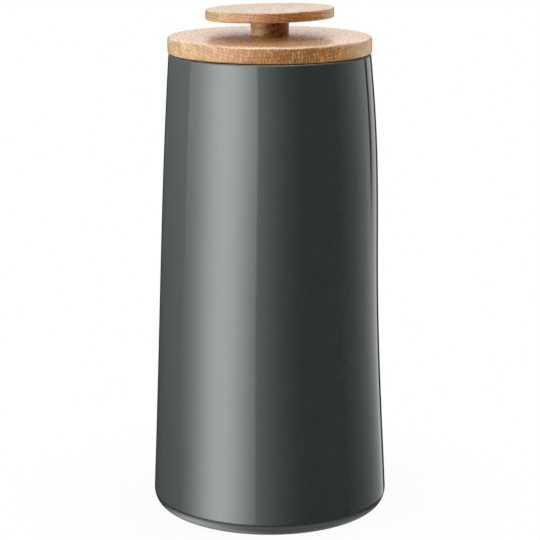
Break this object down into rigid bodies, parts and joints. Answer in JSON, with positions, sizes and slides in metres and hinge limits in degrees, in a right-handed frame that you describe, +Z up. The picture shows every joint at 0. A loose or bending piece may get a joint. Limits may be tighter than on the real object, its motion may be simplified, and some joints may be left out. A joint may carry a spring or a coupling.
{
  "type": "storage canister",
  "caption": "Tall tapered glazed stoneware canister for dry food, closed by a sealed beech lid with a disc knob on a short stem; the lid turns freely and lifts off.",
  "frame": {"origin": "centre of the foot ring, on the surface that the canister stands on", "axes": "+Z up along the vessel's axis; +X towards the side of the vessel with the soft hollow; -Y towards the viewer of the picture"},
  "size_m": [0.11, 0.11, 0.2331],
  "materials": {
    "glazed_stoneware": "glossy dark grey-green glaze",
    "lid_beech": "oiled beech, fine grain with short flecks",
    "knob_beech": "oiled beech, fine grain with short flecks",
    "silicone": "translucent white silicone, satin",
    "steel": "zinc-plated steel"
  },
  "bodies": {
    "vessel": {"vessel": "glazed_stoneware"},
    "seal": {"seal_ring": "silicone"},
    "lid": {"lid_disc": "lid_beech", "lid_plug": "lid_beech", "knob_stem": "knob_beech", "knob_disc": "knob_beech", "knob_screw": "steel", "screw_washer": "steel"}
  },
  "joints": [
    {"name": "lid_lift", "type": "slide", "parent": "vessel", "child": "seal", "axis": [0, 0, 1], "range_m": [0, 0.12]},
    {"name": "lid_turn", "type": "hinge", "parent": "seal", "child": "lid", "pos_m": [0, 0, 0.2125], "axis": [0, 0, 1], "continuous": true}
  ]
}
